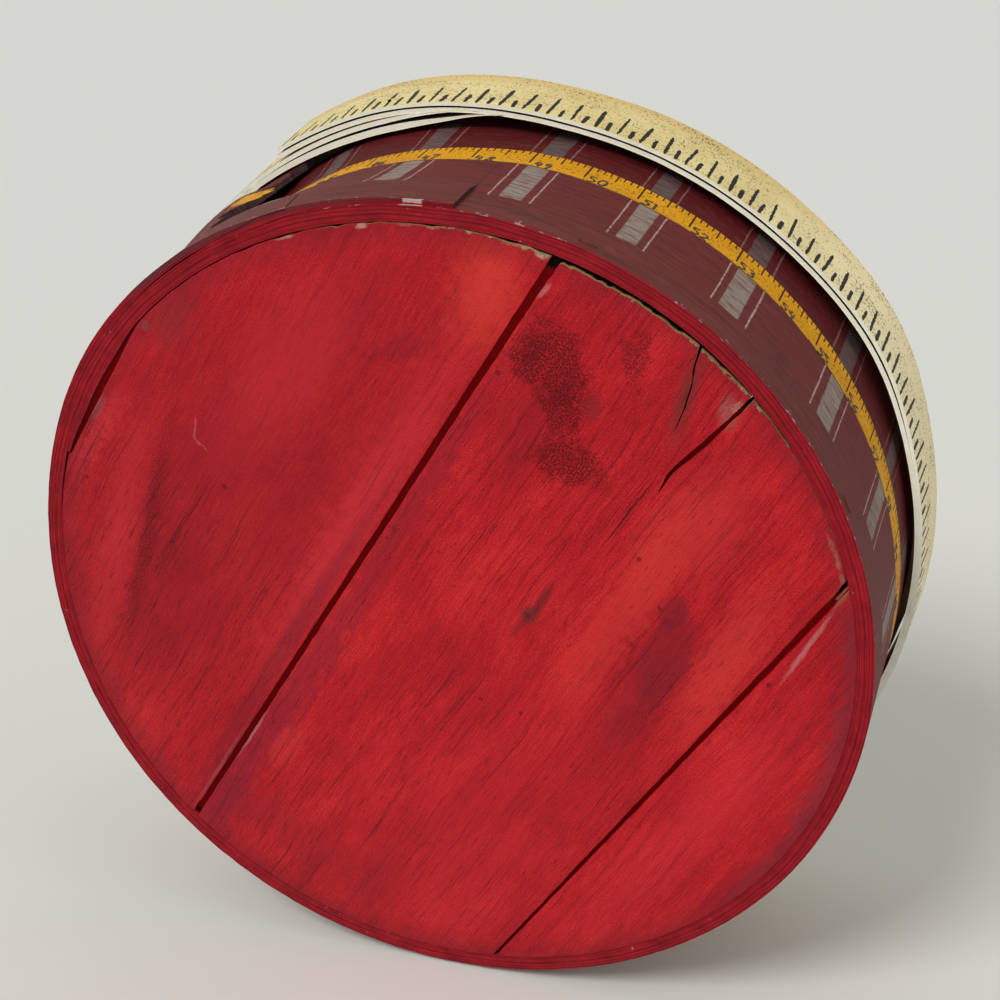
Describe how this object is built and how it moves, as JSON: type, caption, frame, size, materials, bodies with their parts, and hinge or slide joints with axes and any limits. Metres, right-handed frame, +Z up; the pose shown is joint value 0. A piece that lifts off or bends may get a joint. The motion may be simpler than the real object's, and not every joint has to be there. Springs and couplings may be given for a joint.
{
  "type": "sewing box",
  "caption": "Round bentwood box for sewing things: a lapped hoop bent round a boarded bottom, with a loose lid whose lapped rim slips over the hoop.",
  "frame": {"origin": "middle of the bottom face, on the plane that the box stands on", "axes": "+Z up from the bottom to the lid; +Y along the grain of the bottom boards; the laps are on the -X -Y side"},
  "size_m": [0.4112, 0.4131, 0.1487],
  "materials": {
    "red_board": "brushed red paint on sawn softwood boards, worn at the edges",
    "burgundy_ply": "dull burgundy paint on bent veneer, with a painted plaid and tape",
    "cream_board": "speckled cream paint on sawn softwood boards",
    "cream_ply": "speckled cream paint on bent veneer, with brushed ticks",
    "staple_wire": "flattened steel wire, painted over"
  },
  "bodies": {
    "box": {"bottom_board_left": "red_board", "bottom_board_middle": "red_board", "bottom_board_right": "red_board", "body_inner_ply": "burgundy_ply", "body_outer_ply": "burgundy_ply", "bottom_staples": "staple_wire", "body_lap_staples": "staple_wire"},
    "lid": {"lid_board_left": "cream_board", "lid_board_middle": "cream_board", "lid_board_right": "cream_board", "lid_inner_ply": "cream_ply", "lid_outer_ply": "cream_ply", "lid_rim_staples": "staple_wire", "lid_lap_staples": "staple_wire"}
  },
  "joints": [
    {"name": "lid_lift", "type": "slide", "parent": "box", "child": "lid", "axis": [0, 0, 1], "range_m": [0, 0.12]}
  ]
}
